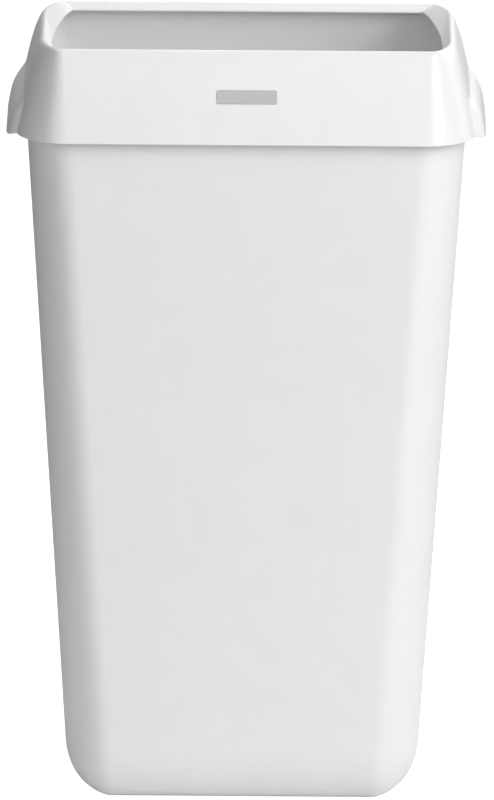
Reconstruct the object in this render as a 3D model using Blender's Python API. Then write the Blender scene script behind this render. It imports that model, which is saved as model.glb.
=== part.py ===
"""Tapered open-top waste bin with a lift-off collar, a bag ring, a badge plate and four foot pads.

Metres, +Z up. The origin is on the floor under the middle of the bin, and -Y is its front.
Run it with: blender --background --python part.py
"""

import math

import bmesh
import bpy
from mathutils import Matrix, Vector

# Overall
HEIGHT = 0.620  # floor to the collar's top edge
WALL = 0.0025  # moulded wall
GAP = 0.0003  # clearance between pieces that touch

# Collar: half sizes and corner radii are (along X, along Y)
SKIRT_HEIGHT = 0.0735
MOUTH_HALF = (0.1635, 0.1185)  # top edge
MOUTH_CORNER = (0.0155, 0.058)
SKIRT_HALF = (0.1858, 0.1445)  # bottom edge
SKIRT_CORNER = (0.042, 0.0645)
SKIRT_LEAN = 0.20  # outward run per metre of drop, below the shoulder
SHOULDER_RUN = 0.005  # extra outward run of the shoulder
SHOULDER_DROP = 0.012  # drop over which the shoulder fades
CREST_RUN = (0.0016, 0.0025)  # rounded top edge, outward
CREST_DROP = 0.003  # and downward
LAND = 0.001  # flat top edge
LIP_INSET = 0.006  # in-turned lip, inward run
LIP_DROP = 0.0049  # and how far it slopes down
LIP_EDGE = 0.0018  # height of its inner edge
LIP_CORNER_BACK = (0.016, 0.160)
LIP_BACK_POWER = 1.38  # 1 is an ellipse, higher draws the corner in towards its chord
LIP_CORNER_FRONT = (0.016, 0.050)
LIP_ROOT_DROP = 0.0032  # where the lip's underside meets the skirt
SHELF_WIDTH = 0.0065  # inside shelf that carries the collar

# Side grips, flared out of the skirt
GRIP_FLARE = 0.0079
GRIP_TOP_DROP = 0.0425  # where the flare starts, below the top edge
GRIP_RISE = 0.023  # drop over which it reaches its full flare
GRIP_CURVE = 2.5  # higher swells out sooner
GRIP_EASE = 0.08  # share of the rise over which the start of the flare is softened
GRIP_HALF_LENGTH = 0.0925
GRIP_SQUARENESS = 12  # higher is blunter at the grip's ends
GRIP_DIP = 0.003  # how far the grip's bottom edge hangs below the skirt's
DIP_START_DROP = 0.057

# Body
RIM_Z = 0.560
BODY_HALF = (0.1764, 0.1335)  # outside, at the height of the collar's bottom edge
BODY_CORNER = (0.0374, 0.0511)
BODY_TAPER = 0.066  # half size gained per metre of height
BASE_RUN = (0.0335, 0.0248)  # rounding between wall and base, inwards
BASE_RISE = 0.0464  # and upwards
BASE_THICKNESS = 0.0035
BASE_CORNER_MIN = 0.004
RIM_BEAD_OUT = 0.001
RIM_BEAD_IN = 0.002
RIM_BEAD_HEIGHT = 0.006
RIM_CHAMFER = 0.0005
RECESS_INSET = 0.027  # stepped panel under the base
RECESS_DEPTH = 0.0012

# Bag ring
RING_WIDTH = 0.0075
RING_THICKNESS = 0.003
RING_LEG = 0.0022  # thickness of the leg that hangs inside the rim
RING_LEG_DROP = 0.015
RING_CLEARANCE = 0.0030  # room for the folded bag beside the leg

# Badge plate
BADGE_SIZE = (0.048, 0.0106)
BADGE_DROP = 0.0357  # its middle, below the top edge
BADGE_RECESS = 0.0009
BADGE_PROUD = 0.0002
BADGE_BEVEL = 0.0002

# Foot pads
FOOT_RADIUS = 0.009
FOOT_PROUD = 0.001
FOOT_POCKET = 0.0017
FOOT_AT = (0.090, 0.056)
FOOT_BEVEL = 0.0004
FOOT_SEGMENTS = 32

# Mesh resolution
NEAR_ANGLE = 8  # degrees around a corner, from its side face, that the near steps cover
NEAR_STEPS = 3
FAR_STEPS = 8  # on from there to the front or back face
SIDE_STEPS = 12  # along the left and right faces
FRONT_STEPS = 3  # along the front and back faces


def clear_scene():
    for old in list(bpy.data.objects):
        bpy.data.objects.remove(old)


def material(name, colour, roughness, metallic=0.0):
    made = bpy.data.materials.new(name)
    made.use_nodes = True
    shader = made.node_tree.nodes["Principled BSDF"]
    shader.inputs["Base Color"].default_value = (*colour, 1.0)
    shader.inputs["Roughness"].default_value = roughness
    shader.inputs["Metallic"].default_value = metallic
    return made


def corner_angles(near):
    """Angles around a corner, from its side face (0) to its front or back face (90 degrees)."""
    angles = [near * math.sin(math.pi / 2 * step / NEAR_STEPS) for step in range(NEAR_STEPS)]
    return angles + [near + (90 - near) * step / FAR_STEPS for step in range(FAR_STEPS + 1)]


def outline(half, corner_front, corner_back, z, near=NEAR_ANGLE, back_power=1.0):
    """One closed loop of points at height z: a rounded rectangle with elliptical corners.

    The loop starts on the right face and runs anticlockwise seen from above. Every outline has
    the same number of points in the same order, so any two can be joined. A back_power over 1
    draws the two back corners in towards their chords.
    """
    points = []
    angles = [math.radians(angle) for angle in corner_angles(near)]
    # Each corner: the signs of its quadrant.
    for sx, sy in ((1, 1), (-1, 1), (-1, -1), (1, -1)):
        corner = corner_back if sy > 0 else corner_front
        power = back_power if sy > 0 else 1.0
        arc = []
        for angle in angles:
            x = half[0] - corner[0] * (1 - abs(math.cos(angle)) ** power)
            y = half[1] - corner[1] * (1 - math.sin(angle) ** power)
            arc.append(Vector((sx * x, sy * y, z)))
        points += arc if sx == sy else reversed(arc)
    return subdivide_sides(points)


def subdivide_sides(corners):
    """Adds the points along the four straight sides. On the side faces they crowd towards the ends."""
    run = len(corners) // 4
    points = []
    for quadrant in range(4):
        points += corners[quadrant * run : (quadrant + 1) * run]
        here = corners[(quadrant + 1) * run - 1]
        there = corners[(quadrant + 1) * run % len(corners)]
        if quadrant % 2 == 0:
            shares = [step / FRONT_STEPS for step in range(1, FRONT_STEPS)]
        else:
            shares = [(1 - math.cos(math.pi * step / SIDE_STEPS)) / 2 for step in range(1, SIDE_STEPS)]
        points += [here.lerp(there, share) for share in shares]
    return points


def even_outline(half, corner, z):
    return outline(half, corner, corner, z)


def grow(pair, amount, least=0.0):
    return tuple(max(value + amount, least) for value in pair)


def loft(name, loops, closed_section, finish):
    """Joins loops of equal length. An open section gets a flat face on its first and last loop."""
    mesh = bmesh.new()
    rings = [[mesh.verts.new(point) for point in loop] for loop in loops]
    pairs = list(zip(rings, rings[1:]))
    if closed_section:
        pairs.append((rings[-1], rings[0]))
    for lower, upper in pairs:
        count = len(lower)
        for i in range(count):
            j = (i + 1) % count
            mesh.faces.new((lower[i], lower[j], upper[j], upper[i]))
    if not closed_section:
        mesh.faces.new(list(reversed(rings[0])))
        mesh.faces.new(rings[-1])
    bmesh.ops.recalc_face_normals(mesh, faces=mesh.faces)
    return as_object(name, mesh, finish)


def as_object(name, mesh, finish, smooth_angle=30):
    data = bpy.data.meshes.new(name)
    mesh.to_mesh(data)
    mesh.free()
    data.shade_smooth()
    data.set_sharp_from_angle(angle=math.radians(smooth_angle))
    data.materials.append(finish)
    made = bpy.data.objects.new(name, data)
    bpy.context.scene.collection.objects.link(made)
    return made


def cut(target, cutter):
    """Leaves the cutter in the file as a wire guide and cuts it out of target."""
    cutter.hide_render = True
    cutter.display_type = "WIRE"
    change = target.modifiers.new("cut_" + cutter.name, "BOOLEAN")
    change.operation = "DIFFERENCE"
    change.solver = "EXACT"
    change.object = cutter


# Collar ---------------------------------------------------------------------------------------


def skirt_run(drop):
    """Outward runs of the skirt's outer faces below the top edge, unscaled: (along X, along Y)."""
    face = SKIRT_LEAN * drop + SHOULDER_RUN * (1 - math.exp(-drop / SHOULDER_DROP))
    crest = math.sqrt(1 - (1 - min(drop / CREST_DROP, 1.0)) ** 2)
    return [face + run * crest for run in CREST_RUN]


def skirt_shape(drop):
    """Half sizes and corner radii of the skirt's outer face at a drop below the top edge."""
    shares = [here / full for here, full in zip(skirt_run(drop), skirt_run(SKIRT_HEIGHT))]
    half = [top + LAND + s * (low - top - LAND) for s, top, low in zip(shares, MOUTH_HALF, SKIRT_HALF)]
    corner = [top + LAND + s * (low - top - LAND) for s, top, low in zip(shares, MOUTH_CORNER, SKIRT_CORNER)]
    return half, corner


def grip_end_angle(drop, inset=0.0):
    """Degrees around the skirt's corner, from its side face, at which the side grip ends."""
    half, corner = skirt_shape(drop)
    straight = half[1] - corner[1]
    return math.degrees(math.asin((GRIP_HALF_LENGTH - inset - straight) / (corner[1] - inset)))


def grip_reach(y, inset):
    """1 along a side grip, falling to 0 at its ends."""
    share = min(abs(y) / (GRIP_HALF_LENGTH - inset), 1.0)
    return 1 - share**GRIP_SQUARENESS


def grip_swell(drop, inset):
    """How far a side grip has swelled out at a drop below the top edge, from 0 to 1."""
    share = max(drop - GRIP_TOP_DROP - inset, 0.0) / GRIP_RISE
    eased = share**2 / (share + GRIP_EASE)
    return 1 - (1 - min(eased, 1.0)) ** GRIP_CURVE


def skirt_loop(drop, inset=0.0, flared=True):
    """The skirt's outline at a drop below the top edge, moved inwards by inset."""
    half, corner = skirt_shape(drop)
    corner = grow(corner, -inset)
    loop = outline(grow(half, -inset), corner, corner, HEIGHT - drop, grip_end_angle(drop, inset))
    if flared:
        out = GRIP_FLARE * grip_swell(drop, inset)
        dip = GRIP_DIP * max(drop - DIP_START_DROP, 0.0) / (SKIRT_HEIGHT - DIP_START_DROP)
        for point in loop:
            reach = grip_reach(point.y, inset)
            point.x += math.copysign(out * reach, point.x)
            point.z -= dip * reach
    return loop


def lip_loop(inset, drop):
    """An outline of the in-turned lip, between the top edge and its inner edge."""
    share = inset / LIP_INSET
    front = [a + share * (b - a) for a, b in zip(MOUTH_CORNER, LIP_CORNER_FRONT)]
    back = [a + share * (b - a) for a, b in zip(MOUTH_CORNER, LIP_CORNER_BACK)]
    power = 1 + share * (LIP_BACK_POWER - 1)
    return outline(grow(MOUTH_HALF, -inset), front, back, HEIGHT - drop, grip_end_angle(0.0), power)


def make_collar(finish):
    rim_support = HEIGHT - (RIM_Z + GAP + RING_THICKNESS + GAP)  # drop of the shelf's underside
    shelf_top = rim_support - WALL
    shelf_inset = WALL + SHELF_WIDTH
    loops = []

    # Outer face, bottom edge upwards, then the flat top edge and the lip.
    outer_drops = [SKIRT_HEIGHT, 0.066, 0.060, 0.055, 0.051, 0.048, 0.0455, 0.0435, 0.040, 0.030]
    outer_drops += [0.021, 0.014, 0.009, 0.0055, CREST_DROP, 0.0015, 0.0005, 0.0]
    loops += [skirt_loop(drop) for drop in outer_drops]
    loops.append(lip_loop(0.0, 0.0))
    loops.append(lip_loop(LIP_INSET / 2, LIP_DROP / 2))
    loops.append(lip_loop(LIP_INSET, LIP_DROP))
    loops.append(lip_loop(LIP_INSET, LIP_DROP + LIP_EDGE))

    # Inner face downwards, with the shelf standing in from it.
    inner_drops = [LIP_ROOT_DROP, 0.012, 0.021, 0.033, 0.0445, 0.049]
    loops += [skirt_loop(drop, WALL) for drop in inner_drops]
    loops.append(skirt_loop(shelf_top, WALL))
    loops.append(skirt_loop(shelf_top, shelf_inset, flared=False))
    loops.append(skirt_loop(rim_support, shelf_inset, flared=False))
    loops.append(skirt_loop(rim_support, WALL))
    loops += [skirt_loop(drop, WALL) for drop in (0.061, 0.066, SKIRT_HEIGHT)]
    return loft("collar", loops, True, finish)


def badge_frame():
    """Place and tilt of the badge's middle on the skirt's front face: Z is out of the face."""
    step = 0.0005
    above = skirt_shape(BADGE_DROP - step)[0][1]
    below = skirt_shape(BADGE_DROP + step)[0][1]
    lean = math.atan2(below - above, 2 * step)
    place = Vector((0, -skirt_shape(BADGE_DROP)[0][1], HEIGHT - BADGE_DROP))
    return Matrix.Translation(place) @ Matrix.Rotation(math.radians(90) - lean, 4, "X")


def slab(name, size, inner, outer, finish, bevel=0.0):
    """A flat block in the badge's frame, from depth inner to depth outer along its Z."""
    mesh = bmesh.new()
    bmesh.ops.create_cube(mesh, size=1)
    scale = Matrix.Diagonal((size[0], size[1], outer - inner, 1))
    shift = Matrix.Translation((0, 0, (outer + inner) / 2))
    bmesh.ops.transform(mesh, matrix=badge_frame() @ shift @ scale, verts=mesh.verts)
    if bevel:
        bmesh.ops.bevel(mesh, geom=mesh.edges[:], offset=bevel, segments=2, affect="EDGES", profile=0.5)
    return as_object(name, mesh, finish)


def make_badge(collar, finish):
    pocket_size = grow(BADGE_SIZE, 2 * GAP)
    pocket = slab("badge_pocket", pocket_size, -BADGE_RECESS, 2 * BADGE_RECESS, finish)
    cut(collar, pocket)
    return slab("badge_plate", BADGE_SIZE, GAP - BADGE_RECESS, BADGE_PROUD, finish, BADGE_BEVEL)


# Body -----------------------------------------------------------------------------------------


def body_half(z):
    """Outside half sizes of the body's wall at height z."""
    return grow(BODY_HALF, BODY_TAPER * (z - (HEIGHT - SKIRT_HEIGHT)))


def wall_loop(z, inset=0.0):
    return even_outline(grow(body_half(z), -inset), grow(BODY_CORNER, -inset), z)


def base_loops(bottom_z, inset, steps):
    """Outlines of the rounding between base and wall, from the base up to where it meets the wall."""
    lean = math.atan(BODY_TAPER)
    rise = BASE_RISE - inset
    meet_half = grow(body_half(bottom_z + rise * (1 - math.sin(lean))), -inset)
    loops = []
    for step in range(steps + 1):
        angle = (math.radians(90) - lean) * step / steps
        inwards = [run * (math.cos(lean) - math.sin(angle)) for run in grow(BASE_RUN, -inset)]
        half = [size - move for size, move in zip(meet_half, inwards)]
        corner = [max(size - inset - move, BASE_CORNER_MIN) for size, move in zip(BODY_CORNER, inwards)]
        loops.append(even_outline(half, corner, bottom_z + rise * (1 - math.cos(angle))))
    return loops


def make_body(finish):
    base_z = FOOT_PROUD
    floor_z = base_z + BASE_THICKNESS
    outer_base = base_loops(base_z, 0.0, 9)
    inner_base = base_loops(floor_z, WALL, 6)
    wall_levels = [0.18, 0.36, RIM_Z - RIM_BEAD_HEIGHT - RIM_BEAD_OUT]
    bead_low = RIM_Z - RIM_BEAD_HEIGHT
    bead_top = RIM_Z - RIM_CHAMFER
    bead_out = -RIM_BEAD_OUT
    bead_in = WALL + RIM_BEAD_IN

    # Underside panel, stepped up from the flat that stands on the pads.
    flat_half = [size - run for size, run in zip(body_half(base_z), BASE_RUN)]
    panel_half = grow(flat_half, -RECESS_INSET)
    panel_corner = (0.012, 0.012)
    loops = [even_outline(grow(panel_half, -RECESS_DEPTH), panel_corner, base_z + RECESS_DEPTH)]
    loops.append(even_outline(panel_half, panel_corner, base_z))

    # Outside, up to the rim bead, over it and down the inside.
    loops += outer_base
    loops += [wall_loop(z) for z in wall_levels]
    loops.append(wall_loop(bead_low, bead_out))
    loops.append(wall_loop(bead_top, bead_out))
    loops.append(wall_loop(RIM_Z, bead_out + RIM_CHAMFER))
    loops.append(wall_loop(RIM_Z, bead_in - RIM_CHAMFER))
    loops.append(wall_loop(bead_top, bead_in))
    loops.append(wall_loop(bead_low, bead_in))
    loops.append(wall_loop(bead_low - RIM_BEAD_IN, WALL))
    loops += [wall_loop(z, WALL) for z in reversed(wall_levels[:-1])]
    loops += list(reversed(inner_base))
    return loft("bin_body", loops, False, finish)


def make_foot_pads(body, finish):
    """Round pads pressed into pockets under the base, one near each corner."""
    pads = []
    places = [("front_left", -1, -1), ("front_right", 1, -1), ("back_left", -1, 1), ("back_right", 1, 1)]
    for label, sx, sy in places:
        centre = (sx * FOOT_AT[0], sy * FOOT_AT[1])
        top = FOOT_PROUD + FOOT_POCKET
        pocket = disc("pocket_" + label, centre, -FOOT_PROUD, top, FOOT_RADIUS + GAP, finish)
        cut(body, pocket)
        pads.append(disc("foot_pad_" + label, centre, 0.0, top - GAP, FOOT_RADIUS, finish, FOOT_BEVEL))
    return pads


def disc(name, centre, low, high, radius, finish, bevel=0.0):
    mesh = bmesh.new()
    place = Matrix.Translation((*centre, (low + high) / 2))
    bmesh.ops.create_cone(
        mesh,
        cap_ends=True,
        segments=FOOT_SEGMENTS,
        radius1=radius,
        radius2=radius,
        depth=high - low,
        matrix=place,
    )
    if bevel:
        rims = [edge for edge in mesh.edges if abs(edge.verts[0].co.z - edge.verts[1].co.z) < 1e-6]
        bmesh.ops.bevel(mesh, geom=rims, offset=bevel, segments=1, affect="EDGES")
    return as_object(name, mesh, finish)


# Bag ring -------------------------------------------------------------------------------------


def make_ring(finish):
    """An L-section ring: a flat flange on the rim and a leg that holds the folded bag inside it."""
    low = RIM_Z + GAP
    high = low + RING_THICKNESS
    outer = -RIM_BEAD_OUT + RIM_CHAMFER
    leg_outer = WALL + RIM_BEAD_IN + RING_CLEARANCE
    leg_inner = leg_outer + RING_LEG
    flat = RIM_Z

    def ring_loop(inset, z):
        return [Vector((p.x, p.y, z)) for p in wall_loop(flat, inset)]

    loops = [
        ring_loop(outer, low),
        ring_loop(outer, high),
        ring_loop(leg_inner, high),
        ring_loop(leg_inner, low - RING_LEG_DROP),
        ring_loop(leg_outer, low - RING_LEG_DROP),
        ring_loop(leg_outer, low),
    ]
    return loft("liner_ring", loops, True, finish)


def main():
    clear_scene()
    white = (0.84, 0.84, 0.83)
    body = make_body(material("bin_white", white, 0.42))
    make_foot_pads(body, material("pad_rubber", (0.12, 0.12, 0.12), 0.8))
    collar = make_collar(material("collar_white", white, 0.40))
    make_badge(collar, material("badge_grey", (0.52, 0.52, 0.53), 0.35))
    make_ring(material("ring_white", (0.80, 0.80, 0.79), 0.5))


main()
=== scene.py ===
"""Looks for the open-top waste bin: finely lofted mouldings, satin white plastic and a pale studio.

Everything is in metres in the CAD frame: +Z up, -Y is the front, the origin is on the floor.
"""

import math

import bpy
import numpy as np
from mathutils import Matrix, Vector


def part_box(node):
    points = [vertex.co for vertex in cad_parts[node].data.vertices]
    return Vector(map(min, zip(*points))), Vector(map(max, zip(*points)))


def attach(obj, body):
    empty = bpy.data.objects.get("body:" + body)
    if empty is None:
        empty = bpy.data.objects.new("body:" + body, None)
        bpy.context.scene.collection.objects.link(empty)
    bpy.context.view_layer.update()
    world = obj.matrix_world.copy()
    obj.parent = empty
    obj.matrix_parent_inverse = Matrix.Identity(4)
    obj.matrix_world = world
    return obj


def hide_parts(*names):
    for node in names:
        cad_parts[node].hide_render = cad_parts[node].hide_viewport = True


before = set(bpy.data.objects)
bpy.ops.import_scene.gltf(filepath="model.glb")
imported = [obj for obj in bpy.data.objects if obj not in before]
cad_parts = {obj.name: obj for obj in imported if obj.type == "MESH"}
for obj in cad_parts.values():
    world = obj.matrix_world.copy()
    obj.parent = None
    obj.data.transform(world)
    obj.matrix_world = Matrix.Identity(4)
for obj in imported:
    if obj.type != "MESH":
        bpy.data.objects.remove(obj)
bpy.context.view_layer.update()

# Places read from the frame
COLLAR_LOW, COLLAR_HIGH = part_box("collar")
BODY_LOW, BODY_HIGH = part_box("bin_body")
RING_LOW, RING_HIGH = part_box("liner_ring")
BADGE_LOW, BADGE_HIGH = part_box("badge_plate")
PADS = {name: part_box(name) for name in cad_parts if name.startswith("foot_pad")}
TOP = COLLAR_HIGH.z
RIM_Z = BODY_HIGH.z

# Section sizes of the mouldings, (along X, along Y) where there are two
WALL = 0.0025
GAP = 0.0003  # left between neighbouring pieces

# Collar
MOUTH_HALF = np.array((0.1635, 0.1185))  # inner edge of the flat top
MOUTH_CORNER = np.array((0.0155, 0.058))
SKIRT_HALF = np.array((0.1858, COLLAR_HIGH.y))  # outer face at the bottom
SKIRT_CORNER = np.array((0.042, 0.0645))
SKIRT_LEAN = 0.20  # outward run per metre of drop; the runs are scaled together to reach SKIRT_HALF
SHOULDER_RUN = 0.005  # extra outward run of the shoulder
SHOULDER_DROP = 0.012  # drop over which the shoulder fades
CREST_RUN = np.array((0.0016, 0.0025))  # rounded top edge, outward
CREST_DROP = 0.003  # and downward
LAND = 0.001  # width of the flat top edge
LIP_INSET = 0.006
LIP_DROP = 0.0049
LIP_EDGE = 0.0018  # height of the lip's inner edge
LIP_CORNER_BACK = np.array((0.016, 0.160))
LIP_BACK_POWER = 1.38  # 1 is an ellipse, higher draws the corner in towards its chord
LIP_CORNER_FRONT = np.array((0.016, 0.050))
LIP_ROOT_DROP = 0.0032  # where the lip's underside meets the skirt
SHELF_WIDTH = 0.0065
COLLAR_EDGE = 0.0009  # radius on the collar's thin edges

# Side grips
GRIP_FLARE = COLLAR_HIGH.x - SKIRT_HALF[0]
GRIP_TOP_DROP = 0.0425
GRIP_RISE = 0.023  # drop over which it swells nearly to its full flare
GRIP_CURVE = 2.5  # higher swells out sooner
GRIP_EASE = 0.08  # share of the rise over which the start of the flare is softened
GRIP_HALF_LENGTH = 0.0925
GRIP_SQUARENESS = 12  # higher is blunter at the grip's ends
GRIP_DIP = 0.003  # how far the grip's bottom edge hangs below the skirt's
DIP_START_DROP = 0.057
SKIRT_HEIGHT = TOP - COLLAR_LOW.z - GRIP_DIP

# Body
BODY_TAPER = 0.066  # half size gained per metre of height
BODY_CORNER = np.array((0.0374, 0.0511))
BASE_RUN = np.array((0.0335, 0.0248))
BASE_RISE = 0.0464
BASE_THICKNESS = 0.0035
BASE_CORNER_MIN = 0.004
RIM_BEAD_OUT = 0.001
RIM_BEAD_IN = 0.002
RIM_BEAD_HEIGHT = 0.006
BODY_RIM_HALF = np.array((BODY_HIGH.x, BODY_HIGH.y)) - RIM_BEAD_OUT
RIM_EDGE = 0.0010  # radius on the rim bead's edges
PANEL_INSET = 0.027
PANEL_DEPTH = 0.0012
PANEL_CORNER = np.array((0.012, 0.012))
PANEL_EDGE = 0.0006

# Bag ring
RING_THICKNESS = 0.003
RING_LEG = 0.0022  # thickness of the leg
RING_CLEARANCE = 0.0030  # from the rim bead to the leg
RING_EDGE = 0.0007

# Badge plate and its pocket
BADGE_SIZE = np.array((BADGE_HIGH.x - BADGE_LOW.x, 0.0106))
BADGE_CORNER = 0.0008
BADGE_PROUD = 0.00035
BADGE_BEVEL = 0.0002
BADGE_RECESS = 0.0009
POCKET_ABOVE = 0.002  # how far the pocket's cutter stands out of the skirt
POCKET_BEVEL = 0.0001

# Foot pads
PAD_EDGE = 0.0004
PAD_GROOVE = 0.0004  # depth of the grip grooves
PAD_MIDDLE = 0.0008  # smallest radius of the turned profile

# Mesh fineness
NEAR_ANGLE = math.radians(8)  # around a corner, from its side face, that the near steps cover
NEAR_STEPS = 10
FAR_STEPS = 26
SIDE_STEPS = 44
FRONT_STEPS = 24
ROUND_STEPS = 6


# Outlines and lofts ---------------------------------------------------------------------------


def corner_angles(near):
    """Angles around a corner from its side face on, crowded where the near part ends."""
    first = near * np.sin(np.linspace(0, math.pi / 2, NEAR_STEPS + 1))
    return np.concatenate((first[:-1], np.linspace(near, math.pi / 2, FAR_STEPS + 1)))


def outline(half, corner_front, corner_back, z, near=NEAR_ANGLE, back_power=1.0):
    """A closed loop at height z: a rounded rectangle with elliptical corners, as an N x 3 array.

    It starts on the right face and runs anticlockwise seen from above; all loops match point by point.
    A back_power over 1 draws the two back corners in towards their chords.
    """
    angle = corner_angles(near)
    arcs = []
    for sx, sy in ((1, 1), (-1, 1), (-1, -1), (1, -1)):
        corner = corner_back if sy > 0 else corner_front
        power = back_power if sy > 0 else 1.0
        x = sx * (half[0] - corner[0] * (1 - np.abs(np.cos(angle)) ** power))
        y = sy * (half[1] - corner[1] * (1 - np.sin(angle) ** power))
        arc = np.column_stack((x, y))
        arcs.append(arc if sx == sy else arc[::-1])
    points = []
    for number, arc in enumerate(arcs):
        following = arcs[(number + 1) % 4]
        if number % 2 == 0:
            share = np.arange(1, FRONT_STEPS) / FRONT_STEPS
        else:
            share = (1 - np.cos(math.pi * np.arange(1, SIDE_STEPS) / SIDE_STEPS)) / 2
        points += [arc, arc[-1] + share[:, None] * (following[0] - arc[-1])]
    flat = np.concatenate(points)
    return np.column_stack((flat, np.full(len(flat), z)))


def even_outline(half, corner, z, least=0.0015, near=NEAR_ANGLE):
    """An outline with four like corners, whose radii are no smaller than least."""
    corner = np.maximum(corner, least)
    return outline(half, corner, corner, z, near)


def towards(here, there, distance):
    """Moves each point of a loop towards the matching point of another, at most 45% of the way."""
    step = there - here
    length = np.maximum(np.linalg.norm(step, axis=1, keepdims=True), 1e-9)
    return here + step * np.minimum(distance / length, 0.45)


def rounded(stations, closed):
    """Loops along a section. A station is (loop, radius); a radius turns its edge into a smooth arc."""
    loops = []
    last = len(stations) - 1
    for i, (here, radius) in enumerate(stations):
        at_end = not closed and i in (0, last)
        if radius == 0 or at_end:
            loops.append(here)
            continue
        start = towards(here, stations[i - 1][0], radius)
        end = towards(here, stations[(i + 1) % len(stations)][0], radius)
        for t in np.linspace(0, 1, ROUND_STEPS):
            loops.append((1 - t) ** 2 * start + 2 * t * (1 - t) * here + t**2 * end)
    return loops


def loft(name, loops, closed):
    """A mesh through loops of equal length. An open section gets a centre fan on its end loops."""
    count = len(loops[0])
    points = np.concatenate(loops)
    faces = []
    pairs = len(loops) if closed else len(loops) - 1
    for row in range(pairs):
        low = row * count
        high = (row + 1) % len(loops) * count
        for i in range(count):
            j = (i + 1) % count
            faces.append((low + i, low + j, high + j, high + i))
    if not closed:
        ends = [(0, loops[0], -1), (len(loops) - 1, loops[-1], 1)]
        for row, loop, turn in ends:
            middle = len(points)
            points = np.concatenate((points, loop.mean(axis=0, keepdims=True)))
            base = row * count
            for i in range(count):
                edge = (base + i, base + (i + 1) % count)
                faces.append((*edge, middle) if turn > 0 else (edge[1], edge[0], middle))
    mesh = bpy.data.meshes.new(name)
    mesh.from_pydata(points.tolist(), [], faces)
    mesh.validate()
    return mesh


def carved(mesh, cutter_mesh):
    """The mesh with a closed cutter taken out of it."""
    blank = bpy.data.objects.new("blank", mesh)
    cutter = bpy.data.objects.new("cutter", cutter_mesh)
    for made in (blank, cutter):
        bpy.context.scene.collection.objects.link(made)
    change = blank.modifiers.new("carve", "BOOLEAN")
    change.operation = "DIFFERENCE"
    change.solver = "EXACT"
    change.object = cutter
    done = bpy.data.meshes.new_from_object(blank.evaluated_get(bpy.context.evaluated_depsgraph_get()))
    done.name = mesh.name
    for made in (blank, cutter):
        bpy.data.objects.remove(made)
    return done


def add_piece(name, mesh, material, body, stands_for):
    """Shows a mesh in place of the CAD node it stands for, on that node's body."""
    made = bpy.data.objects.new(name, mesh)
    bpy.context.scene.collection.objects.link(made)
    mesh.materials.append(material)
    mesh.shade_smooth()
    # Large faces keep their own direction, so that only the small roundings shade as round.
    weight = made.modifiers.new("even_normals", "WEIGHTED_NORMAL")
    weight.weight = 80
    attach(made, body)
    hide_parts(stands_for)


# Collar ---------------------------------------------------------------------------------------


def skirt_run(drop):
    """Outward runs of the skirt's outer faces below the top edge, unscaled: (along X, along Y)."""
    face = SKIRT_LEAN * drop + SHOULDER_RUN * (1 - math.exp(-drop / SHOULDER_DROP))
    return face + CREST_RUN * math.sqrt(1 - (1 - min(drop / CREST_DROP, 1.0)) ** 2)


def skirt_shape(drop):
    """Half sizes and corner radii of the skirt's outer face at a drop below the top edge."""
    share = skirt_run(drop) / skirt_run(SKIRT_HEIGHT)
    half = MOUTH_HALF + LAND + share * (SKIRT_HALF - MOUTH_HALF - LAND)
    corner = MOUTH_CORNER + LAND + share * (SKIRT_CORNER - MOUTH_CORNER - LAND)
    return half, corner


def grip_end_angle(drop, inset=0.0):
    """How far around the skirt's corner, from its side face, the side grip ends."""
    half, corner = skirt_shape(drop)
    straight = half[1] - corner[1]
    return math.asin((GRIP_HALF_LENGTH - inset - straight) / (corner[1] - inset))


def grip_swell(drop, inset):
    """How far a side grip has swelled out at a drop below the top edge, from 0 to 1."""
    share = max(drop - GRIP_TOP_DROP - inset, 0.0) / GRIP_RISE
    eased = share**2 / (share + GRIP_EASE)
    return 1 - (1 - min(eased, 1.0)) ** GRIP_CURVE


def skirt_loop(drop, inset=0.0, flared=True):
    """The skirt's outline at a drop below the top edge, moved inwards by inset."""
    half, corner = skirt_shape(drop)
    loop = even_outline(half - inset, corner - inset, TOP - drop, near=grip_end_angle(drop, inset))
    if flared:
        reach = np.minimum(np.abs(loop[:, 1]) / (GRIP_HALF_LENGTH - inset), 1.0)
        along = 1 - reach**GRIP_SQUARENESS
        loop[:, 0] += np.copysign(GRIP_FLARE * grip_swell(drop, inset) * along, loop[:, 0])
        hang = max(drop - DIP_START_DROP, 0.0) / (SKIRT_HEIGHT - DIP_START_DROP)
        loop[:, 2] -= GRIP_DIP * hang * along
    return loop


def lip_loop(inset, drop):
    """An outline of the in-turned lip, between the top edge and its inner edge."""
    share = inset / LIP_INSET
    front = MOUTH_CORNER + share * (LIP_CORNER_FRONT - MOUTH_CORNER)
    back = MOUTH_CORNER + share * (LIP_CORNER_BACK - MOUTH_CORNER)
    power = 1 + share * (LIP_BACK_POWER - 1)
    return outline(MOUTH_HALF - inset, front, back, TOP - drop, grip_end_angle(0.0), power)


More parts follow.
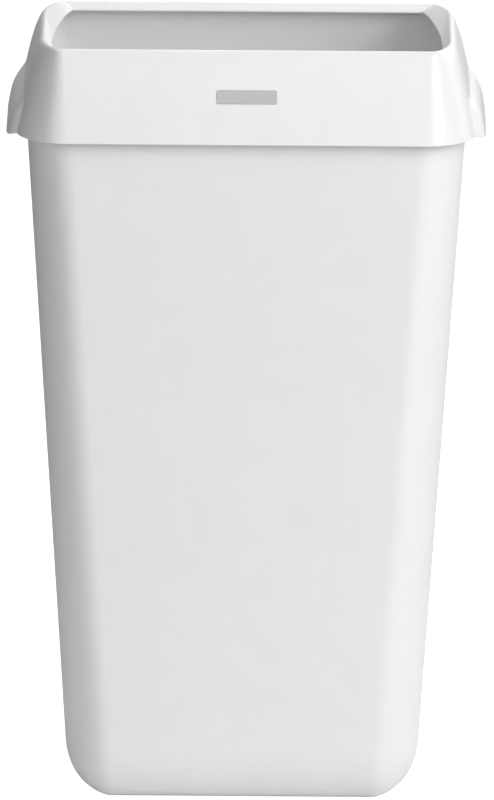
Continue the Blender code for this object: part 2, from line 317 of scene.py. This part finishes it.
def collar_mesh():
    shelf_low = TOP - RING_HIGH.z - GAP
    shelf_high = shelf_low - WALL
    shelf_inset = WALL + SHELF_WIDTH
    shelf_edge, shelf_root, lip_root = 0.0006, 0.001, 0.002
    clear = 0.002  # kept between the loops of a face and the edge next to it

    # Outer face, bottom edge upwards, then the flat top edge and the lip.
    grip_drops = np.linspace(SKIRT_HEIGHT - clear, GRIP_TOP_DROP, 26)
    shoulder_drops = np.linspace(GRIP_TOP_DROP - clear, CREST_DROP + clear / 2, 22)
    crest_drops = CREST_DROP * (1 - np.cos(np.linspace(math.pi / 2, 0, 10)))
    stations = [(skirt_loop(SKIRT_HEIGHT), COLLAR_EDGE)]
    for drop in (*grip_drops, *shoulder_drops, *crest_drops):
        stations.append((skirt_loop(drop), 0))
    stations.append((lip_loop(0.0, 0.0), 0.8 * LAND))
    for share in (0.25, 0.5, 0.75):
        stations.append((lip_loop(share * LIP_INSET, share * LIP_DROP), 0))
    stations.append((lip_loop(LIP_INSET, LIP_DROP), COLLAR_EDGE))
    stations.append((lip_loop(LIP_INSET, LIP_DROP + LIP_EDGE), COLLAR_EDGE))

    # Inner face downwards, with the shelf standing in from it.
    stations.append((skirt_loop(LIP_ROOT_DROP, WALL), lip_root))
    above = np.linspace(5 * clear, shelf_high - 1.5 * clear, 11)
    stations += [(skirt_loop(drop, WALL), 0) for drop in above]
    stations.append((skirt_loop(shelf_high, WALL), shelf_root))
    stations.append((skirt_loop(shelf_high, shelf_inset, flared=False), shelf_edge))
    stations.append((skirt_loop(shelf_low, shelf_inset, flared=False), shelf_edge))
    stations.append((skirt_loop(shelf_low, WALL), shelf_root))
    below = np.linspace(shelf_low + clear, SKIRT_HEIGHT - clear, 10)
    stations += [(skirt_loop(drop, WALL), 0) for drop in below]
    stations.append((skirt_loop(SKIRT_HEIGHT, WALL), COLLAR_EDGE))
    return loft("collar_shell", rounded(stations, True), True)


# Body -----------------------------------------------------------------------------------------


def body_half(z):
    """Outside half sizes of the body's wall at height z."""
    return BODY_RIM_HALF - BODY_TAPER * (RIM_Z - z)


def wall_loop(z, inset=0.0):
    return even_outline(body_half(z) - inset, BODY_CORNER - inset, z)


def base_loops(bottom_z, inset, steps):
    """The rounding between base and wall, from the base up to where it meets the wall."""
    lean = math.atan(BODY_TAPER)
    rise = BASE_RISE - inset
    meet_half = body_half(bottom_z + rise * (1 - math.sin(lean))) - inset
    loops = []
    for angle in np.linspace(0, math.pi / 2 - lean, steps):
        inwards = (BASE_RUN - inset) * (math.cos(lean) - math.sin(angle))
        corner = np.maximum(BODY_CORNER - inset - inwards, BASE_CORNER_MIN)
        loops.append(even_outline(meet_half - inwards, corner, bottom_z + rise * (1 - math.cos(angle))))
    return loops


def body_mesh():
    base_z = BODY_LOW.z
    bead_low = RIM_Z - RIM_BEAD_HEIGHT
    bead_in = WALL + RIM_BEAD_IN
    bead_root = 0.0008
    wall_low, wall_high = 0.06, bead_low - 0.004  # the even part of the wall
    to_middle = (0.5, 0.5, 1)

    # Underside panel, then the outside up to the rim bead.
    panel_half = body_half(base_z) - BASE_RUN - PANEL_INSET
    panel_in = even_outline(panel_half - PANEL_DEPTH, PANEL_CORNER, base_z + PANEL_DEPTH)
    stations = [(panel_in * to_middle, 0), (panel_in, PANEL_EDGE)]
    stations.append((even_outline(panel_half, PANEL_CORNER, base_z), PANEL_EDGE))
    stations += [(loop, 0) for loop in base_loops(base_z, 0.0, 24)]
    levels = np.linspace(wall_low, wall_high, 14)
    stations += [(wall_loop(z), 0) for z in levels]

    # Over the bead and down the inside.
    stations.append((wall_loop(bead_low - RIM_BEAD_OUT), bead_root))
    stations.append((wall_loop(bead_low, -RIM_BEAD_OUT), bead_root))
    stations.append((wall_loop(RIM_Z, -RIM_BEAD_OUT), RIM_EDGE))
    stations.append((wall_loop(RIM_Z, bead_in), RIM_EDGE))
    stations.append((wall_loop(bead_low, bead_in), RIM_EDGE))
    stations.append((wall_loop(bead_low - RIM_BEAD_IN, WALL), RIM_EDGE))
    stations += [(wall_loop(z, WALL), 0) for z in reversed(levels[:-1])]
    inner = base_loops(base_z + BASE_THICKNESS, WALL, 16)
    stations += [(loop, 0) for loop in reversed(inner)]
    stations.append((inner[0] * to_middle, 0))
    return loft("bin_shell", rounded(stations, False), False)


# Bag ring, pads and badge ---------------------------------------------------------------------


def ring_mesh():
    """An L-section ring: a flange on the rim and a leg that hangs inside it."""
    outer = body_half(RIM_Z)[0] - RING_HIGH.x
    leg_outer = WALL + RIM_BEAD_IN + RING_CLEARANCE
    leg_inner = leg_outer + RING_LEG
    flange_low = RING_HIGH.z - RING_THICKNESS

    def level(inset, z):
        loop = wall_loop(RIM_Z, inset)
        loop[:, 2] = z
        return loop

    stations = [
        (level(outer, flange_low), RING_EDGE),
        (level(outer, RING_HIGH.z), RING_EDGE),
        (level(leg_inner, RING_HIGH.z), 2 * RING_EDGE),
        (level(leg_inner, RING_LOW.z), RING_EDGE),
        (level(leg_outer, RING_LOW.z), RING_EDGE),
        (level(leg_outer, flange_low), RING_EDGE),
    ]
    return loft("bag_ring", rounded(stations, True), True)


def turned(name, profile, segments=64):
    """A mesh turned about Z from (radius, z) points that run from the axis out and back to it."""
    angle = np.linspace(0, 2 * math.pi, segments, endpoint=False)
    circle = np.column_stack((np.cos(angle), np.sin(angle), np.zeros(segments)))
    loops = [radius * circle + np.array((0, 0, z)) for radius, z in profile]
    return loft(name, loops, False)


def pad_mesh(name, low, high):
    """A moulded rubber pad: a rounded rim, and a hollow and three grip grooves in its underside."""
    radius = (high.x - low.x) / 2
    height = high.z - low.z
    edge = PAD_EDGE
    ridge = [(-0.0008, 0.0), (0.0002, 0.0)]
    groove = [(0.0005, PAD_GROOVE), (0.0010, PAD_GROOVE)]
    profile = [(PAD_MIDDLE, PAD_GROOVE), (2 * PAD_MIDDLE, PAD_GROOVE)]
    for share in (0.25, 0.5, 0.75):
        profile += [(share * radius + out, up) for out, up in ridge + groove]
    profile += [(0.86 * radius, 0.0), (radius - edge, 0.0)]
    profile += [(radius - 0.3 * edge, 0.3 * edge), (radius, edge)]
    profile += [(radius, height - edge), (radius - edge, height), (PAD_MIDDLE, height)]
    mesh = turned(name, profile)
    mesh.transform(Matrix.Translation(((low.x + high.x) / 2, (low.y + high.y) / 2, low.z)))
    return mesh


def badge_place():
    """The badge's frame: its middle on the skirt's front face, X to the right, Z out of the face."""
    drop = TOP - (BADGE_LOW.z + BADGE_HIGH.z) / 2
    step = 0.0005
    lean = math.atan2(skirt_shape(drop + step)[0][1] - skirt_shape(drop - step)[0][1], 2 * step)
    place = Vector((0, -skirt_shape(drop)[0][1], TOP - drop))
    return Matrix.Translation(place) @ Matrix.Rotation(math.pi / 2 - lean, 4, "X")


def plaque_mesh(name, size, radius, low, high, soft):
    """A rounded rectangular plate in the badge's frame, from depth low to depth high."""
    least = 0.0002
    half = size / 2
    corner = np.array((radius, radius))
    loops = [even_outline(half - soft, corner, low, least), even_outline(half, corner, low + soft, least)]
    for angle in np.linspace(0, math.pi / 2, 5):
        inset = soft * (1 - math.cos(angle))
        loops.append(even_outline(half - inset, corner, high - soft + soft * math.sin(angle), least))
    mesh = loft(name, loops, False)
    mesh.transform(badge_place())
    return mesh


def badge_pocket_mesh():
    size = BADGE_SIZE + 2 * GAP
    corner = BADGE_CORNER + GAP
    return plaque_mesh("badge_pocket", size, corner, -BADGE_RECESS, POCKET_ABOVE, POCKET_BEVEL)


def badge_mesh():
    return plaque_mesh("badge_face", BADGE_SIZE, BADGE_CORNER, GAP - BADGE_RECESS, BADGE_PROUD, BADGE_BEVEL)


# Materials ------------------------------------------------------------------------------------


class Nodes:
    """Small helper that adds and links the nodes of one material."""

    def __init__(self, name):
        self.material = bpy.data.materials.new(name)
        self.material.use_nodes = True
        self.tree = self.material.node_tree
        self.shader = self.tree.nodes["Principled BSDF"]
        self.place = self.add("ShaderNodeTexCoord").outputs["Object"]

    def add(self, kind, **settings):
        node = self.tree.nodes.new(kind)
        for key, value in settings.items():
            setattr(node, key, value)
        return node

    def link(self, source, target):
        self.tree.links.new(source, target)

    def noise(self, scale, detail=3.0, roughness=0.55, stretch=(1, 1, 1)):
        mapping = self.add("ShaderNodeMapping")
        mapping.inputs["Scale"].default_value = stretch
        self.link(self.place, mapping.inputs["Vector"])
        node = self.add("ShaderNodeTexNoise")
        node.inputs["Scale"].default_value = scale
        node.inputs["Detail"].default_value = detail
        node.inputs["Roughness"].default_value = roughness
        self.link(mapping.outputs["Vector"], node.inputs["Vector"])
        return node.outputs["Fac"]

    def remap(self, source, low, high, to_low=0.0, to_high=1.0):
        node = self.add("ShaderNodeMapRange")
        for key, value in zip(("From Min", "From Max", "To Min", "To Max"), (low, high, to_low, to_high)):
            node.inputs[key].default_value = value
        self.link(source, node.inputs["Value"])
        return node.outputs["Result"]

    def maths(self, operation, first, second):
        """A sum or product of two values, each a number or a socket."""
        node = self.add("ShaderNodeMath", operation=operation)
        for slot, value in enumerate((first, second)):
            if isinstance(value, (int, float)):
                node.inputs[slot].default_value = value
            else:
                self.link(value, node.inputs[slot])
        return node.outputs["Value"]

    def blend(self, share, first, second):
        """Mixes two colours, each an (r, g, b) or a socket, by a share that comes from a socket."""
        node = self.add("ShaderNodeMix", data_type="RGBA")
        sockets = [s for s in node.inputs if s.type == "RGBA"]
        for socket, value in zip(sockets, (first, second)):
            if isinstance(value, tuple):
                socket.default_value = (*value, 1.0)
            else:
                self.link(value, socket)
        self.link(share, node.inputs["Factor"])
        return next(s for s in node.outputs if s.type == "RGBA")

    def bump(self, height, strength, distance, below=None):
        """A bump from a height, on top of the bump below it."""
        node = self.add("ShaderNodeBump")
        node.inputs["Strength"].default_value = strength
        node.inputs["Distance"].default_value = distance
        self.link(height, node.inputs["Height"])
        if below is not None:
            self.link(below, node.inputs["Normal"])
        return node.outputs["Normal"]


def moulded_plastic(name, colour, shade, roughness, scuff_height):
    """Satin injection-moulded plastic: fine grain, flow mottling and upright scratches.

    Scuffs reach up to scuff_height above the floor. A piece that starts higher has none.
    """
    scuff_strength, scuff_tone = 0.16, 0.72
    scratch_dulling, scuff_dulling = 0.08, 0.8
    nodes = Nodes(name)
    mottle = nodes.noise(scale=9.0, detail=4.0)
    cloud = nodes.noise(scale=38.0, detail=2.0)
    grain = nodes.noise(scale=2600.0, detail=2.0, roughness=0.6)
    scratch = nodes.noise(scale=240.0, detail=3.0, roughness=0.7, stretch=(1.0, 1.0, 0.04))
    scratch_mask = nodes.remap(scratch, 0.66, 0.74)
    colour_share = nodes.remap(nodes.maths("ADD", mottle, cloud), 0.75, 1.25)
    base = nodes.blend(colour_share, colour, shade)

    # Faint grey scuffing close to the floor, where shoes and mops reach.
    height = nodes.add("ShaderNodeSeparateXYZ")
    nodes.link(nodes.place, height.inputs["Vector"])
    low = nodes.remap(height.outputs["Z"], scuff_height, 0.0)
    patchy = nodes.remap(nodes.noise(scale=26.0, detail=5.0, roughness=0.7), 0.52, 0.72)
    scuffs = nodes.maths("MULTIPLY", nodes.maths("MULTIPLY", low, patchy), scuff_strength)
    worn = tuple(scuff_tone * value for value in colour)
    base = nodes.blend(scuffs, base, worn)
    nodes.link(base, nodes.shader.inputs["Base Color"])

    rough = nodes.remap(cloud, 0.3, 0.7, roughness - 0.03, roughness + 0.04)
    rough = nodes.maths("ADD", rough, nodes.maths("MULTIPLY", scratch_mask, scratch_dulling))
    rough = nodes.maths("ADD", rough, nodes.maths("MULTIPLY", scuffs, scuff_dulling))
    nodes.link(rough, nodes.shader.inputs["Roughness"])

    flow = nodes.bump(mottle, strength=0.05, distance=0.0008)
    fine = nodes.bump(grain, strength=0.22, distance=0.00006, below=flow)
    nicks = nodes.bump(scratch_mask, strength=0.10, distance=0.00005, below=fine)
    nodes.link(nicks, nodes.shader.inputs["Normal"])
    nodes.shader.inputs["IOR"].default_value = 1.49
    return nodes.material


def badge_plastic(name, colour):
    """Satin tinted plate with a fine horizontal brushing."""
    nodes = Nodes(name)
    brushing = nodes.noise(scale=900.0, detail=2.0, roughness=0.6, stretch=(0.03, 1.0, 1.0))
    tone = nodes.remap(brushing, 0.3, 0.7)
    dark = tuple(0.93 * value for value in colour)
    nodes.link(nodes.blend(tone, dark, colour), nodes.shader.inputs["Base Color"])
    nodes.link(nodes.remap(brushing, 0.3, 0.7, 0.30, 0.42), nodes.shader.inputs["Roughness"])
    nodes.link(nodes.bump(brushing, strength=0.15, distance=0.00003), nodes.shader.inputs["Normal"])
    return nodes.material


def pad_rubber(name):
    """Dark rubber with dust in its pores."""
    nodes = Nodes(name)
    dust = nodes.remap(nodes.noise(scale=420.0, detail=4.0, roughness=0.65), 0.45, 0.75)
    colour = nodes.blend(dust, (0.018, 0.018, 0.019), (0.075, 0.073, 0.07))
    nodes.link(colour, nodes.shader.inputs["Base Color"])
    nodes.link(nodes.remap(dust, 0.0, 1.0, 0.62, 0.88), nodes.shader.inputs["Roughness"])
    pores = nodes.noise(scale=2200.0, detail=2.0)
    nodes.link(nodes.bump(pores, strength=0.3, distance=0.00008), nodes.shader.inputs["Normal"])
    return nodes.material


# Object ---------------------------------------------------------------------------------------


def build_object():
    white = (0.865, 0.865, 0.862)
    shade = (0.845, 0.846, 0.845)
    ring_tones = (0.74, 0.74, 0.735), (0.71, 0.71, 0.71)
    body_white = moulded_plastic("body_white_satin", white, shade, roughness=0.42, scuff_height=0.10)
    collar_white = moulded_plastic("collar_white_satin", white, shade, roughness=0.38, scuff_height=0.001)
    ring_white = moulded_plastic("ring_white_satin", *ring_tones, roughness=0.5, scuff_height=0.001)
    grey = badge_plastic("badge_grey_satin", (0.535, 0.535, 0.54))
    rubber = pad_rubber("pad_dark_rubber")

    collar = carved(collar_mesh(), badge_pocket_mesh())
    add_piece("bin_shell", body_mesh(), body_white, "bin", "bin_body")
    add_piece("collar_shell", collar, collar_white, "collar", "collar")
    add_piece("badge_face", badge_mesh(), grey, "collar", "badge_plate")
    add_piece("bag_ring", ring_mesh(), ring_white, "ring", "liner_ring")
    for node, (low, high) in PADS.items():
        name = node + "_moulded"
        add_piece(name, pad_mesh(name, low, high), rubber, "bin", node)


# Studio ---------------------------------------------------------------------------------------


def direction(azimuth, elevation):
    """From the bin outwards. Azimuth is measured from its front, positive to its right."""
    a, e = math.radians(azimuth), math.radians(elevation)
    return Vector((math.sin(a) * math.cos(e), -math.cos(a) * math.cos(e), math.sin(e)))


def area_light(name, azimuth, elevation, distance, size, power, target=(0, 0, 0.32)):
    """A rectangular white soft box that faces the target."""
    light = bpy.data.lights.new(name, "AREA")
    light.shape = "RECTANGLE"
    light.size, light.size_y = size
    light.energy = power
    made = bpy.data.objects.new(name, light)
    bpy.context.scene.collection.objects.link(made)
    offset = direction(azimuth, elevation) * distance
    made.location = Vector(target) + offset
    made.rotation_euler = offset.to_track_quat("Z", "Y").to_euler()


def build_world():
    """White behind the bin, for the camera only. All the light comes from the soft boxes."""
    world = bpy.data.worlds.new("studio")
    world.use_nodes = True
    bpy.context.scene.world = world
    tree = world.node_tree
    path = tree.nodes.new("ShaderNodeLightPath")
    background = tree.nodes["Background"]
    background.inputs["Color"].default_value = (1, 1, 1, 1)
    tree.links.new(path.outputs["Is Camera Ray"], background.inputs["Strength"])


def build_floor():
    """A white seamless sweep, which glows for the camera only.

    It throws light back near the bin and less of it further out.
    """
    reach = 30.0
    albedo_near, albedo_far = 0.9, 0.54
    near, far = 0.4, 1.5
    mesh = bpy.data.meshes.new("floor")
    corners = [(-reach, -reach, 0), (reach, -reach, 0), (reach, reach, 0), (-reach, reach, 0)]
    mesh.from_pydata(corners, [], [(0, 1, 2, 3)])
    floor = bpy.data.objects.new("floor", mesh)
    bpy.context.scene.collection.objects.link(floor)

    nodes = Nodes("floor_pale")
    distance = nodes.add("ShaderNodeVectorMath", operation="LENGTH")
    nodes.link(nodes.place, distance.inputs[0])
    albedo = nodes.remap(distance.outputs["Value"], near, far, albedo_near, albedo_far)
    nodes.link(albedo, nodes.shader.inputs["Base Color"])
    nodes.shader.inputs["Roughness"].default_value = 0.9
    nodes.shader.inputs["Specular IOR Level"].default_value = 0.0
    nodes.shader.inputs["Emission Color"].default_value = (1, 1, 1, 1)
    path = nodes.add("ShaderNodeLightPath")
    nodes.link(path.outputs["Is Camera Ray"], nodes.shader.inputs["Emission Strength"])
    mesh.materials.append(nodes.material)


def build_camera(distance, elevation, roll, target, field_height):
    """A long lens in front of the bin. The view is field_height tall at the target."""
    data = bpy.data.cameras.new("camera")
    data.sensor_width = 36.0
    data.lens = distance * data.sensor_width / field_height
    made = bpy.data.objects.new("camera", data)
    bpy.context.scene.collection.objects.link(made)
    offset = direction(0.0, elevation) * distance
    made.location = Vector(target) + offset
    turn = offset.to_track_quat("Z", "Y").to_matrix() @ Matrix.Rotation(math.radians(roll), 3, "Z")
    made.rotation_euler = turn.to_euler()
    bpy.context.scene.camera = made


def build_studio():
    build_world()
    build_floor()
    # Name, azimuth, elevation, distance, width and height, power.
    area_light("key", 50, 20, 3.0, (1.3, 1.3), 34.5)
    area_light("key_upper", 50, 40, 3.0, (1.3, 1.3), 24.6)
    area_light("key_side", 70, 60, 3.0, (1.3, 1.3), 3.5)
    area_light("front", 0, 15, 3.0, (1.6, 1.6), 6.5)
    area_light("front_upper", 0, 35, 3.0, (1.6, 1.6), 12.1)
    area_light("front_left", -40, 15, 3.0, (1.3, 1.3), 11.0)
    area_light("top_small", -30, 82, 1.4, (0.4, 0.4), 2.6, (0.05, 0, 0.55))
    area_light("back_card", 180, 50, 1.2, (0.5, 0.3), 3.8, (0, 0, 0.55))
    area_light("back_left", -120, 60, 3.0, (1.3, 1.3), 9.5)
    area_light("back_right", 150, 25, 3.0, (1.2, 1.6), 22.4)
    area_light("rim_right", 125, 15, 3.0, (0.9, 1.8), 10.6)
    area_light("rim_left", -165, 8, 3.0, (0.8, 1.6), 1.7)
    # Past about 19 m, the views from other angles would lie beyond their own clip distance.
    build_camera(distance=18.0, elevation=10.2, roll=0.42, target=(0.0021, 0.0, 0.3131), field_height=0.6487)
    bpy.context.scene.view_settings.view_transform = "Standard"


build_object()
build_studio()
